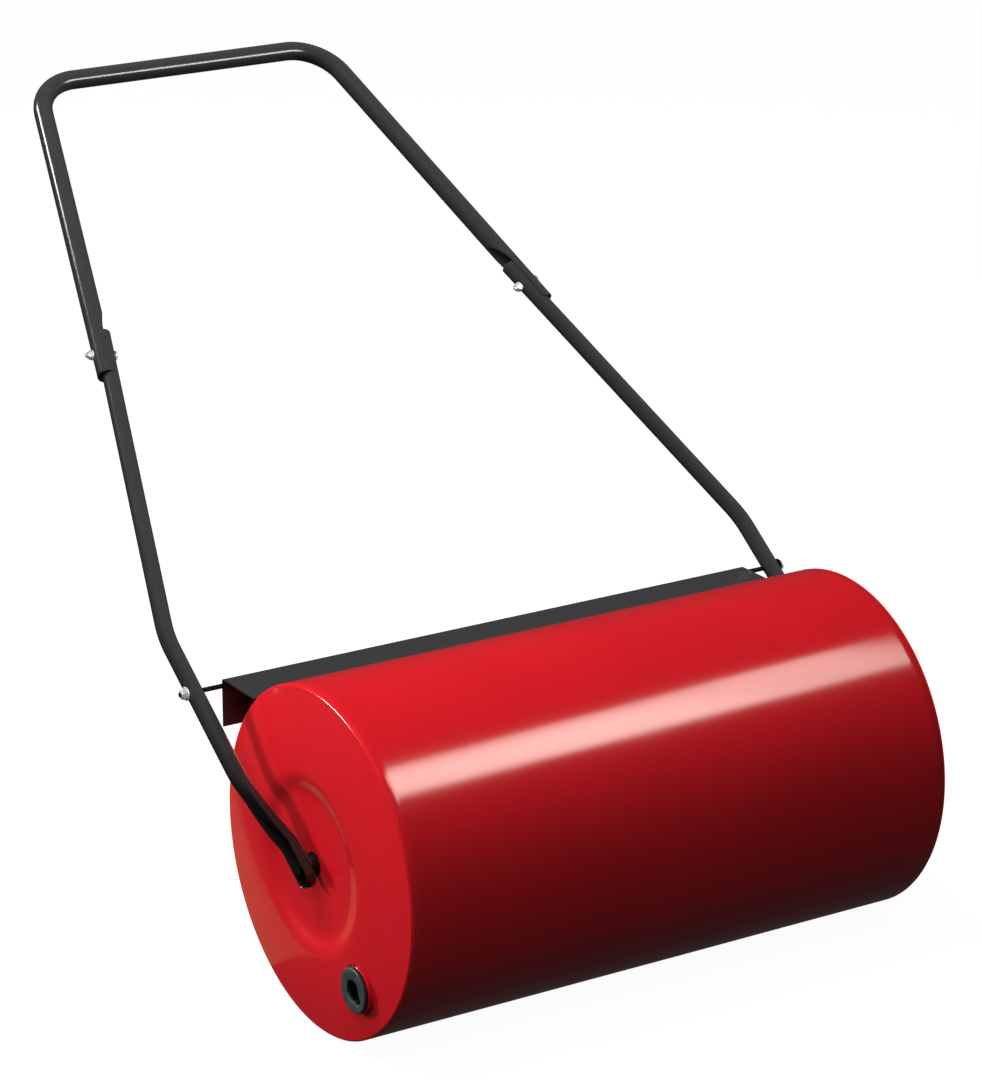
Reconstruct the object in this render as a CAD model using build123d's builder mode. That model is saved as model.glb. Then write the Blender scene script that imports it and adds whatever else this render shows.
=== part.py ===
"""Push lawn roller: a steel drum that is filled with water, a tubular handle and a scraper.

Frame: X runs along the drum's axis, with the filler plug at the -X end. +Y points from the
drum towards the person who pushes it, and +Z is up. The origin is on the ground, in the
middle of the box around the whole roller. All sizes are in millimetres.
"""

from math import cos, radians, sin, sqrt
import os

from build123d import *

os.makedirs("parts", exist_ok=True)

LEFT = -1
RIGHT = 1

# Drum
DRUM_RADIUS = 160
BARREL_HALF = 282.5  # half of the straight part between the rounded edges
EDGE_RADIUS = 2.5
SHEET = 1.5
SKIRT = 15  # the lip of an end cap that reaches into the barrel
DOME_RISE = 8  # the end cap bulges this far beyond its rim
DOME_FULLNESS = 0.72  # of that rise is reached halfway in
RECESS_RADIUS = 80
RECESS_DEPTH = 5
RECESS_BEVEL = 14
HUB_RADIUS = 9.5
HUB_HEIGHT = 6  # the boss stands out of the recess by this much
HUB_CHAMFER = 0.8
HUB_SPIGOT = 8
HUB_SPIGOT_LENGTH = 16
AXLE_BOLT_REACH = 16  # into the boss
AXLE_BORE_DEPTH = 18

# Handle
HANDLE_ANGLE = 35.2  # above the horizontal
GRIP_DISTANCE = 925  # from the drum's axis to the crossbar's axis
UPPER_TUBE = 9.5  # radii of the two tube sizes
LOWER_TUBE = 8
TUBE_WALL = 1.5
GRIP_BEND = 50
UPPER_SPREAD = 0.2268  # how far a leg moves outward for each mm towards the drum
LOWER_SPREAD = 0.2535
JOINT_DISTANCE = 583
JOINT_HALF = 238.9  # half of the distance between the upper legs at the joint
JOINT_NEST = 4.05  # the lower tube's axis lies this far inside the upper tube's
JOINT_LAP = 25  # the tubes overlap this far on each side of the bolt
SCOOP_MARGIN = 4  # the pressed-in part of the upper leg goes this much past the lap
SCOOP_RUNOUT = 30
SCOOP_CLEARANCE = 0.05
ARM_HALF = 316.5  # half of the distance between the arms beside the drum
ARM_BEND = 120

# Arm ends, pressed flat
FLAT_START = 96
FLAT_MIDDLE = 62
FLAT_MIDDLE_SHIFT = 5  # by here the arm has moved this far in towards the hub
FLAT_MIDDLE_DEPTH = 5.8
FLAT_MIDDLE_WIDTH = 9.3
FLAT_END = 30
TIP_REACH = 19  # past the drum's axis
TIP_WIDTH = 20
TIP_CORNER = 5
WEB = 3
RIM_HEIGHT = 10.3

# Fasteners
AXLE_BOLT = 4
AXLE_HEAD = 13
AXLE_HEAD_HEIGHT = 5
AXLE_WASHER = 1.4
AXLE_WASHER_RADIUS = 7.4
BUSH_FLANGE = 1.4
BUSH_FLANGE_RADIUS = 9
BUSH_WALL = 2
JOINT_BOLT = 2.5
JOINT_NUT = 8
JOINT_NUT_HEIGHT = 4.5
JOINT_WASHER = 1
JOINT_WASHER_RADIUS = 5
DOME_RADIUS = 5
DOME_HEIGHT = 2.6
DOME_EDGE = 0.3
THREAD_END = 2  # the bolt's end stands out of its nut by this much
ROD_RADIUS = 2.25
ROD_NUT = 9
ROD_NUT_HEIGHT = 5
ROD_WASHER = 1.2
ROD_WASHER_RADIUS = 6.5
ROD_END = 1  # the rod stands out of its nuts by this much
ROD_CHAMFER = 0.5
BOLT_HOLE_GAP = 0.1
RUNNING_GAP = 0.06  # radial play where one piece turns on another
BODY_GAP = 0.3  # space between pieces that move past each other

# Scraper
SCRAPER_HALF = 285.5
SCRAPER_HEIGHT = 46
ROD_DISTANCE = 198  # from the drum's axis, along the handle
SLEEVE_RADIUS = 3.5
SLEEVE_LENGTH = 30
SCRAPER_EDGE_GAP = 0.5
SCRAPER_FOLD = 2.5

# Filler
FILLER_DISTANCE = 118.6  # from the drum's axis
FILLER_BELOW = 48.5  # degrees below the horizontal, on the side away from the handle
FILLER_BORE = 16.2
NECK_RADIUS = 21.4
NECK_LENGTH = 9
NECK_DROP = 0.6  # from the top of the end cap's bulge to the neck's face
NECK_CUT = 36
PLUG_FLANGE = 21
PLUG_FLANGE_HEIGHT = 3.8
PLUG_FLANGE_CHAMFER = 1.2
PLUG_STEM_LENGTH = 15
PLUG_STEM_CHAMFER = 1.5
PLUG_SOCKET = 9.8
PLUG_SOCKET_DEPTH = 10
PLUG_LOBE = 5.2  # the socket's keyway is a second, smaller circle
PLUG_LOBE_DISTANCE = 9.3
PLUG_LOBE_ANGLE = 142

# Worked out from the above
RIM_FACE = BARREL_HALF + EDGE_RADIUS
DOME_FACE = RIM_FACE + DOME_RISE
RECESS_FACE = DOME_FACE - RECESS_DEPTH
HUB_FACE = RECESS_FACE + HUB_HEIGHT
BUSH_RADIUS = AXLE_BOLT + BUSH_WALL
ARM_FACE = HUB_FACE + BODY_GAP + BUSH_FLANGE  # the arm end's inner face
NECK_FACE = DOME_FACE - NECK_DROP
FILLER_ANGLE = radians(180 + FILLER_BELOW)
ELEVATION = radians(HANDLE_ANGLE)
AXLE_Z = DRUM_RADIUS
# the box around the roller runs from the drum's front to the back of the crossbar
AXLE_Y = -(GRIP_DISTANCE * cos(ELEVATION) + UPPER_TUBE - DRUM_RADIUS) / 2

axle = Axis((0, AXLE_Y, AXLE_Z), (1, 0, 0))
# in this plane a point is (along the drum's axis, distance from it)
axle_section = Plane(origin=(0, AXLE_Y, AXLE_Z), x_dir=(1, 0, 0), z_dir=(0, -1, 0))
# in this plane a point is (along the drum's axis, distance along the handle)
handle_plane = Plane(
    origin=(0, AXLE_Y, AXLE_Z),
    x_dir=(1, 0, 0),
    z_dir=(0, -sin(ELEVATION), cos(ELEVATION)),
)


def finish(part, label):
    """Name a finished piece and write it."""
    part.part.label = label
    export_step(part.part, f"parts/{label}.step")


def end_plane(side, outward):
    """A plane across the drum's axis, outward from the middle, that faces outward."""
    return Plane(origin=(side * outward, AXLE_Y, AXLE_Z), x_dir=(0, 1, 0), z_dir=(side, 0, 0))


def leg_plane(side, half, distance, spread):
    """A plane across a leg: its x points outward, and its z points along the leg to the grip."""
    origin = handle_plane.from_local_coords((side * half, distance, 0))
    ahead = handle_plane.from_local_coords((side * (half - spread), distance + 1, 0))
    out = handle_plane.from_local_coords((side * (half + 1), distance + spread, 0))
    return Plane(origin=origin, x_dir=out - origin, z_dir=ahead - origin)


def upper_half(distance):
    """Half of the distance between the upper legs."""
    return JOINT_HALF - UPPER_SPREAD * (distance - JOINT_DISTANCE)


def lower_half(distance):
    """Half of the distance between the slanted parts of the lower arms."""
    return JOINT_HALF - JOINT_NEST - LOWER_SPREAD * (distance - JOINT_DISTANCE)


# ---------------------------------------------------------------- drum
with BuildPart() as drum_shell:
    with BuildSketch(axle_section):
        with Locations((0, DRUM_RADIUS - SHEET / 2)):
            Rectangle(2 * BARREL_HALF, SHEET)
    revolve(axis=axle)
finish(drum_shell, "drum_shell")

filler_spot = (FILLER_DISTANCE * cos(FILLER_ANGLE), FILLER_DISTANCE * sin(FILLER_ANGLE))


def filler_plane(outward):
    """A plane across the filler's axis."""
    return Plane(
        origin=(-outward, AXLE_Y + filler_spot[0], AXLE_Z + filler_spot[1]),
        x_dir=(0, 1, 0),
        z_dir=(-1, 0, 0),
    )


def dome_arc(side, back):
    """The end cap's bulge, from the rim to the recess, moved back by the sheet's thickness."""
    rim = (side * (RIM_FACE - back), DRUM_RADIUS - EDGE_RADIUS - back)
    crown = (side * (DOME_FACE - back), RECESS_RADIUS)
    middle = (side * (RIM_FACE - back + DOME_FULLNESS * DOME_RISE), (rim[1] + RECESS_RADIUS) / 2)
    return ThreePointArc(rim, middle, crown)


for side, label in ((LEFT, "left_end_cap"), (RIGHT, "right_end_cap")):
    with BuildPart() as end_cap:
        with BuildSketch(axle_section):
            with BuildLine():
                lip = DRUM_RADIUS - SHEET
                floor = RECESS_RADIUS - RECESS_BEVEL
                outer = dome_arc(side, 0)
                inner = dome_arc(side, SHEET)
                edge_start = (side * BARREL_HALF, DRUM_RADIUS)
                Polyline(
                    (side * BARREL_HALF, lip - SHEET),
                    (side * (BARREL_HALF - SKIRT), lip - SHEET),
                    (side * (BARREL_HALF - SKIRT), lip),
                    (side * BARREL_HALF, lip),
                    edge_start,
                )
                RadiusArc(edge_start, outer @ 0, side * EDGE_RADIUS)
                Polyline(
                    outer @ 1,
                    (side * RECESS_FACE, floor),
                    (side * RECESS_FACE, HUB_SPIGOT),
                    (side * (RECESS_FACE - SHEET), HUB_SPIGOT),
                    (side * (RECESS_FACE - SHEET), floor),
                    inner @ 1,
                )
                Line(inner @ 0, (side * BARREL_HALF, lip - SHEET))
            make_face()
        revolve(axis=axle)
        if side == LEFT:
            with BuildSketch(filler_plane(DOME_FACE)):
                Circle(NECK_RADIUS)
            extrude(amount=NECK_CUT, both=True, mode=Mode.SUBTRACT)
    finish(end_cap, label)

with BuildPart() as filler_neck:
    with BuildSketch(filler_plane(NECK_FACE)):
        Circle(NECK_RADIUS)
        Circle(FILLER_BORE, mode=Mode.SUBTRACT)
    extrude(amount=-NECK_LENGTH)
finish(filler_neck, "filler_neck")

for side, label in ((LEFT, "left_hub_boss"), (RIGHT, "right_hub_boss")):
    with BuildPart() as hub_boss:
        with BuildSketch(end_plane(side, HUB_FACE)):
            Circle(HUB_RADIUS)
        extrude(amount=-(HUB_FACE - RECESS_FACE))
        with BuildSketch(end_plane(side, RECESS_FACE)):
            Circle(HUB_SPIGOT)
        extrude(amount=-HUB_SPIGOT_LENGTH)
        with BuildSketch(end_plane(side, HUB_FACE)):
            Circle(AXLE_BOLT)
        extrude(amount=-AXLE_BORE_DEPTH, mode=Mode.SUBTRACT)
        rim = hub_boss.edges().filter_by(GeomType.CIRCLE).group_by(SortBy.RADIUS)[-1]
        chamfer(rim.sort_by(Axis.X)[0 if side == LEFT else -1], HUB_CHAMFER)
    finish(hub_boss, label)

washer_face = ARM_FACE + WEB + 2 * BODY_GAP
head_face = washer_face + AXLE_WASHER

with BuildPart() as axle_bolts:
    for side in (LEFT, RIGHT):
        with BuildSketch(end_plane(side, head_face)):
            RegularPolygon(AXLE_HEAD / 2, 6, major_radius=False)
        extrude(amount=AXLE_HEAD_HEIGHT)
        with BuildSketch(end_plane(side, head_face)):
            Circle(AXLE_BOLT)
        extrude(amount=-(head_face - HUB_FACE + AXLE_BOLT_REACH))
finish(axle_bolts, "axle_bolts")

with BuildPart() as axle_washers:
    for side in (LEFT, RIGHT):
        with BuildSketch(end_plane(side, washer_face)):
            Circle(AXLE_WASHER_RADIUS)
            Circle(AXLE_BOLT, mode=Mode.SUBTRACT)
        extrude(amount=AXLE_WASHER)
finish(axle_washers, "axle_washers")

# ---------------------------------------------------------------- filler plug
with BuildPart() as filler_plug:
    flange_face = NECK_FACE + BODY_GAP
    with BuildSketch(filler_plane(flange_face)):
        Circle(PLUG_FLANGE)
    extrude(amount=PLUG_FLANGE_HEIGHT)
    chamfer(filler_plug.faces().sort_by(Axis.X)[0].edges(), PLUG_FLANGE_CHAMFER)
    with BuildSketch(filler_plane(flange_face)):
        Circle(FILLER_BORE - BODY_GAP)
    extrude(amount=-PLUG_STEM_LENGTH)
    chamfer(filler_plug.faces().sort_by(Axis.X)[-1].edges(), PLUG_STEM_CHAMFER)
    with BuildSketch(filler_plane(flange_face + PLUG_FLANGE_HEIGHT)):
        Circle(PLUG_SOCKET)
        with PolarLocations(PLUG_LOBE_DISTANCE, 1, start_angle=PLUG_LOBE_ANGLE):
            Circle(PLUG_LOBE)
    extrude(amount=-PLUG_SOCKET_DEPTH, mode=Mode.SUBTRACT)
finish(filler_plug, "filler_plug")

# ---------------------------------------------------------------- handle
leg_end = JOINT_DISTANCE - JOINT_LAP
scoop_straight = 2 * JOINT_LAP + SCOOP_MARGIN
scoop_radius = LOWER_TUBE + SCOOP_CLEARANCE
runout_shift = scoop_radius - JOINT_NEST + UPPER_TUBE


def bolt_plane(side, outward):
    """A plane across a joint bolt, outward from the upper leg's axis, that faces outward."""
    leg = leg_plane(side, JOINT_HALF, JOINT_DISTANCE, UPPER_SPREAD)
    return Plane(origin=leg.origin + leg.x_dir * outward, x_dir=leg.y_dir, z_dir=leg.x_dir)


with BuildPart() as upper_handle:
    with BuildLine(handle_plane) as grip_path:
        FilletPolyline(
            (-upper_half(leg_end), leg_end),
            (-upper_half(GRIP_DISTANCE), GRIP_DISTANCE),
            (upper_half(GRIP_DISTANCE), GRIP_DISTANCE),
            (upper_half(leg_end), leg_end),
            radius=GRIP_BEND,
        )
    with BuildSketch(leg_plane(LEFT, upper_half(leg_end), leg_end, UPPER_SPREAD)):
        Circle(UPPER_TUBE)
        Circle(UPPER_TUBE - TUBE_WALL, mode=Mode.SUBTRACT)
    sweep(path=grip_path.wires()[0])
    for side in (LEFT, RIGHT):
        # the end of each leg is pressed in from the inside, so that the lower arm lies in it
        leg_foot = leg_plane(side, upper_half(leg_end), leg_end, UPPER_SPREAD)
        with BuildSketch(leg_foot):
            Circle(UPPER_TUBE)
        extrude(amount=scoop_straight + SCOOP_RUNOUT)
        with BuildSketch(leg_plane(side, lower_half(leg_end), leg_end, LOWER_SPREAD)):
            Circle(scoop_radius)
        extrude(amount=scoop_straight, both=True, mode=Mode.SUBTRACT)
        scoop_top = leg_end + scoop_straight * cos(UPPER_SPREAD)
        run_top = scoop_top + SCOOP_RUNOUT
        with BuildSketch(leg_plane(side, lower_half(scoop_top), scoop_top, LOWER_SPREAD)):
            Circle(scoop_radius)
        with BuildSketch(
            leg_plane(side, lower_half(run_top) - runout_shift, run_top, LOWER_SPREAD)
        ):
            Circle(scoop_radius)
        loft(mode=Mode.SUBTRACT)
        # the hollow that is left between the pressed wall and the outer wall
        with BuildSketch(leg_foot):
            Circle(UPPER_TUBE - TUBE_WALL)
            with Locations((-JOINT_NEST, 0)):
                Circle(scoop_radius + TUBE_WALL, mode=Mode.SUBTRACT)
        extrude(amount=JOINT_LAP - 2 * JOINT_BOLT, mode=Mode.SUBTRACT)
        with BuildSketch(bolt_plane(side, 0)):
            Circle(JOINT_BOLT + BOLT_HOLE_GAP)
        extrude(amount=2 * UPPER_TUBE, both=True, mode=Mode.SUBTRACT)
finish(upper_handle, "upper_handle")


def flat_plane(side, half, distance):
    """A plane across the flattened arm, square to the handle's direction."""
    origin = handle_plane.from_local_coords((side * half, distance, 0))
    return Plane(origin=origin, x_dir=(1, 0, 0), z_dir=handle_plane.y_dir)


def tip_plane(side, outward):
    """A plane across the drum's axis that faces outward: its x points along the handle."""
    return Plane(
        origin=(side * outward, AXLE_Y, AXLE_Z),
        x_dir=handle_plane.y_dir,
        z_dir=(side, 0, 0),
    )


arm_top = JOINT_DISTANCE + JOINT_LAP
bend_distance = JOINT_DISTANCE - (ARM_HALF - JOINT_HALF + JOINT_NEST) / LOWER_SPREAD
tip_middle = ARM_FACE + RIM_HEIGHT / 2

for side, label in ((LEFT, "left_lower_arm"), (RIGHT, "right_lower_arm")):
    with BuildPart() as lower_arm:
        with BuildLine(handle_plane) as arm_path:
            FilletPolyline(
                (side * lower_half(arm_top), arm_top),
                (side * ARM_HALF, bend_distance),
                (side * ARM_HALF, FLAT_START),
                radius=ARM_BEND,
            )
        with BuildSketch(leg_plane(side, lower_half(arm_top), arm_top, LOWER_SPREAD)):
            Circle(LOWER_TUBE)
            Circle(LOWER_TUBE - TUBE_WALL, mode=Mode.SUBTRACT)
        sweep(path=arm_path.wires()[0])
        # pressed flat, and set in towards the hub
        with BuildSketch(flat_plane(side, ARM_HALF, FLAT_START)):
            Circle(LOWER_TUBE)
        with BuildSketch(flat_plane(side, ARM_HALF - FLAT_MIDDLE_SHIFT, FLAT_MIDDLE)):
            Ellipse(FLAT_MIDDLE_DEPTH, FLAT_MIDDLE_WIDTH)
        with BuildSketch(flat_plane(side, tip_middle, FLAT_END)):
            Ellipse(RIM_HEIGHT / 2, TIP_WIDTH / 2)
        loft()
        # the tip is a trough that opens outward, with the axle bolt in it
        with BuildSketch(tip_plane(side, ARM_FACE)):
            with BuildLine():
                Polyline(
                    (FLAT_END, TIP_WIDTH / 2),
                    (TIP_CORNER - TIP_REACH, TIP_WIDTH / 2),
                    (-TIP_REACH, TIP_WIDTH / 2 - TIP_CORNER),
                    (-TIP_REACH, TIP_CORNER - TIP_WIDTH / 2),
                    (TIP_CORNER - TIP_REACH, -TIP_WIDTH / 2),
                    (FLAT_END, -TIP_WIDTH / 2),
                    close=True,
                )
            make_face()
        extrude(amount=RIM_HEIGHT)
        with BuildSketch(tip_plane(side, ARM_FACE + WEB)):
            with Locations((-TIP_REACH, 0)):
                Rectangle(
                    TIP_REACH + FLAT_END,
                    TIP_WIDTH - 2 * TUBE_WALL,
                    align=(Align.MIN, Align.CENTER),
                )
        extrude(amount=RIM_HEIGHT, mode=Mode.SUBTRACT)
        with BuildSketch(end_plane(side, ARM_FACE)):
            Circle(BUSH_RADIUS)
        extrude(amount=WEB, both=True, mode=Mode.SUBTRACT)
        with BuildSketch(bolt_plane(side, 0)):
            Circle(JOINT_BOLT + BOLT_HOLE_GAP)
        extrude(amount=2 * UPPER_TUBE, both=True, mode=Mode.SUBTRACT)
        rod_hole = handle_plane.from_local_coords((side * ARM_HALF, ROD_DISTANCE, 0))
        with BuildSketch(Plane(origin=rod_hole, z_dir=(side, 0, 0))):
            Circle(ROD_RADIUS + BOLT_HOLE_GAP)
        extrude(amount=UPPER_TUBE, both=True, mode=Mode.SUBTRACT)
    finish(lower_arm, label)

for side, label in ((LEFT, "left_arm_bush"), (RIGHT, "right_arm_bush")):
    with BuildPart() as arm_bush:
        with BuildSketch(end_plane(side, ARM_FACE)):
            Circle(BUSH_FLANGE_RADIUS)
        extrude(amount=-BUSH_FLANGE)
        with BuildSketch(end_plane(side, ARM_FACE)):
            Circle(BUSH_RADIUS)
        extrude(amount=WEB + BODY_GAP)
        with BuildSketch(end_plane(side, ARM_FACE)):
            Circle(AXLE_BOLT + RUNNING_GAP)
        extrude(amount=2 * WEB, both=True, mode=Mode.SUBTRACT)
    finish(arm_bush, label)

# ---------------------------------------------------------------- handle joints
# both nuts are on the left of their tube: the left bolt's head is inside, the right one's outside
inner_seat = -(JOINT_NEST + LOWER_TUBE + BOLT_HOLE_GAP)
joint_seats = {
    LEFT: {"head": inner_seat, "nut": UPPER_TUBE},
    RIGHT: {"head": UPPER_TUBE, "nut": inner_seat},
}


def outward_sign(seat):
    """Whether a seat faces away from the roller's middle."""
    return 1 if seat > 0 else -1


with BuildPart() as joint_bolts:
    for side in (LEFT, RIGHT):
        head = joint_seats[side]["head"]
        nut = joint_seats[side]["nut"]
        away = outward_sign(head)
        tip = nut - away * (JOINT_WASHER + JOINT_NUT_HEIGHT + THREAD_END)
        with BuildSketch(bolt_plane(side, tip)):
            Circle(JOINT_BOLT)
        extrude(amount=head - tip)
        with BuildSketch(bolt_plane(side, head)):
            Circle(DOME_RADIUS)
        extrude(amount=away * DOME_HEIGHT)
    heads = joint_bolts.edges().filter_by(GeomType.CIRCLE).group_by(SortBy.RADIUS)[-1]
    middle_out = heads.sort_by(Axis.X)
    fillet([middle_out[1], middle_out[-1]], DOME_HEIGHT - DOME_EDGE)
finish(joint_bolts, "joint_bolts")

with BuildPart() as joint_washers:
    for side in (LEFT, RIGHT):
        nut = joint_seats[side]["nut"]
        with BuildSketch(bolt_plane(side, nut)):
            Circle(JOINT_WASHER_RADIUS)
            Circle(JOINT_BOLT, mode=Mode.SUBTRACT)
        extrude(amount=outward_sign(nut) * JOINT_WASHER)
finish(joint_washers, "joint_washers")

with BuildPart() as joint_nuts:
    for side in (LEFT, RIGHT):
        nut = joint_seats[side]["nut"]
        away = outward_sign(nut)
        with BuildSketch(bolt_plane(side, nut + away * JOINT_WASHER)):
            RegularPolygon(JOINT_NUT / 2, 6, major_radius=False)
            Circle(JOINT_BOLT, mode=Mode.SUBTRACT)
        extrude(amount=away * JOINT_NUT_HEIGHT)
finish(joint_nuts, "joint_nuts")

# ---------------------------------------------------------------- scraper
rod_y = AXLE_Y + ROD_DISTANCE * cos(ELEVATION)
rod_z = AXLE_Z + ROD_DISTANCE * sin(ELEVATION)
washer_seat = ARM_HALF + LOWER_TUBE


def rod_plane(x, facing):
    """A plane across the scraper's rod."""
    return Plane(origin=(x, rod_y, rod_z), x_dir=(0, 1, 0), z_dir=(facing, 0, 0))


nut_seat = washer_seat + ROD_WASHER
rod_half = nut_seat + ROD_NUT_HEIGHT + ROD_END

with BuildPart() as scraper_rod:
    with BuildSketch(rod_plane(0, 1)):
        Circle(ROD_RADIUS)
    extrude(amount=rod_half, both=True)
    chamfer(scraper_rod.edges().filter_by(GeomType.CIRCLE), ROD_CHAMFER)
finish(scraper_rod, "scraper_rod")

with BuildPart() as rod_washers:
    for side in (LEFT, RIGHT):
        with BuildSketch(rod_plane(side * washer_seat, side)):
            Circle(ROD_WASHER_RADIUS)
            Circle(ROD_RADIUS, mode=Mode.SUBTRACT)
        extrude(amount=ROD_WASHER)
finish(rod_washers, "rod_washers")

with BuildPart() as rod_nuts:
    for side in (LEFT, RIGHT):
        with BuildSketch(rod_plane(side * nut_seat, side)):
            RegularPolygon(ROD_NUT / 2, 6, major_radius=False)
            Circle(ROD_RADIUS, mode=Mode.SUBTRACT)
        extrude(amount=ROD_NUT_HEIGHT)
finish(rod_nuts, "rod_nuts")

plate_top = rod_z + SLEEVE_RADIUS + SHEET
plate_back = rod_y + SLEEVE_RADIUS + SHEET
under_plate = SLEEVE_RADIUS + rod_z - AXLE_Z
edge_reach = sqrt((DRUM_RADIUS + SCRAPER_EDGE_GAP) ** 2 - under_plate**2)
plate_front = AXLE_Y + edge_reach

with BuildPart() as scraper_blade:
    with BuildSketch(Plane(origin=(-SCRAPER_HALF, 0, 0), x_dir=(0, 1, 0), z_dir=(1, 0, 0))):
        with BuildLine():
            Polyline(
                (plate_front, plate_top),
                (plate_back, plate_top),
                (plate_back, plate_top - SCRAPER_HEIGHT),
                (plate_back - SHEET, plate_top - SCRAPER_HEIGHT),
                (plate_back - SHEET, plate_top - SHEET),
                (plate_front, plate_top - SHEET),
                close=True,
            )
        make_face()
    extrude(amount=2 * SCRAPER_HALF)
    fold = scraper_blade.edges().filter_by(Axis.X).sort_by(Axis.Y).group_by(Axis.Z)[-1][-1]
    fillet(fold, SCRAPER_FOLD)
finish(scraper_blade, "scraper_blade")

with BuildPart() as scraper_sleeves:
    for middle in (SLEEVE_LENGTH - SCRAPER_HALF, 0, SCRAPER_HALF - SLEEVE_LENGTH):
        with BuildSketch(rod_plane(middle, 1)):
            Circle(SLEEVE_RADIUS)
            Circle(ROD_RADIUS + RUNNING_GAP, mode=Mode.SUBTRACT)
        extrude(amount=SLEEVE_LENGTH / 2, both=True)
finish(scraper_sleeves, "scraper_sleeves")
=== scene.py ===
from math import ceil, cos, pi, radians, sin, sqrt, tan

import bmesh
import bpy
from mathutils import Matrix, Vector


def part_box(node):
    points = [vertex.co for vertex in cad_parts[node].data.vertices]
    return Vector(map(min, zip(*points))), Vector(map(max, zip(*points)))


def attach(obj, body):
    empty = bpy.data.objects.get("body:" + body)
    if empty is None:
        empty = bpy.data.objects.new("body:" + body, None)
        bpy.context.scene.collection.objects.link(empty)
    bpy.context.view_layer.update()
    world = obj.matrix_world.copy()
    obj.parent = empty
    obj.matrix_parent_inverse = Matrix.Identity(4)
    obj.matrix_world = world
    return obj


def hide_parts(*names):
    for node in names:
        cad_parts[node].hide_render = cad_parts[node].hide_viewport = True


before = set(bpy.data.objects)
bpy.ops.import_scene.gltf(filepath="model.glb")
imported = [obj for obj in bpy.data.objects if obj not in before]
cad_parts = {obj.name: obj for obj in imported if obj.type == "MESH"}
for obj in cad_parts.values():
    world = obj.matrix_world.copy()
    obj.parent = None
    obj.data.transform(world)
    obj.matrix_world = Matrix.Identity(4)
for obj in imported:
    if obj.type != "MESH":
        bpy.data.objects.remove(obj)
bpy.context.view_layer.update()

# ---------------------------------------------------------------- studio
# A pale seamless floor, soft fill lamps that leave no reflection, and soft boxes for what
# shines: the drum's long highlight, the tubes of the handle, the zinc plated bolts and the
# plug-end cap. A lamp that is meant for some of the pieces is linked to those alone.
drum_low, drum_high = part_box("drum_shell")
AXLE = (drum_low + drum_high) / 2
CAMERA_AZIMUTH = radians(-32.1789)
CAMERA_ELEVATION = radians(19.0323)
CAMERA_DISTANCE = 3.8816
CAMERA_ASIDE = -0.0889
CAMERA_RAISED = 0.2334
CAMERA_LENS = 142.336
CAMERA_SENSOR = 36
CAMERA_REACH = 100

towards_camera = Vector((
    sin(CAMERA_AZIMUTH) * cos(CAMERA_ELEVATION),
    -cos(CAMERA_AZIMUTH) * cos(CAMERA_ELEVATION),
    sin(CAMERA_ELEVATION),
))
camera_right = Vector((cos(CAMERA_AZIMUTH), sin(CAMERA_AZIMUTH), 0))
camera_up = towards_camera.cross(camera_right)
camera = bpy.data.objects.new("camera", bpy.data.cameras.new("camera"))
camera.data.lens = CAMERA_LENS
camera.data.sensor_width = CAMERA_SENSOR
camera.data.clip_end = CAMERA_REACH
camera.matrix_world = Matrix.Translation(
    AXLE
    + towards_camera * CAMERA_DISTANCE
    + camera_right * CAMERA_ASIDE
    + camera_up * CAMERA_RAISED
) @ Matrix((camera_right, camera_up, towards_camera)).transposed().to_4x4()
bpy.context.scene.collection.objects.link(camera)
bpy.context.scene.camera = camera
bpy.context.scene.view_settings.view_transform = "Standard"


class Value:
    """A number on its way through a finish. Arithmetic on it adds the Math node it needs."""

    def __init__(self, finish, socket):
        self.finish = finish
        self.socket = socket

    def math(self, operation, first, second):
        node = self.finish.add("Math", {"operation": operation}, {0: first, 1: second})
        return Value(self.finish, node.outputs[0])

    def __add__(self, other):
        return self.math("ADD", self, other)

    def __radd__(self, other):
        return self.math("ADD", other, self)

    def __sub__(self, other):
        return self.math("SUBTRACT", self, other)

    def __rsub__(self, other):
        return self.math("SUBTRACT", other, self)

    def __mul__(self, other):
        return self.math("MULTIPLY", self, other)

    def __rmul__(self, other):
        return self.math("MULTIPLY", other, self)

    def __pow__(self, other):
        return self.math("POWER", self, other)


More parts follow.
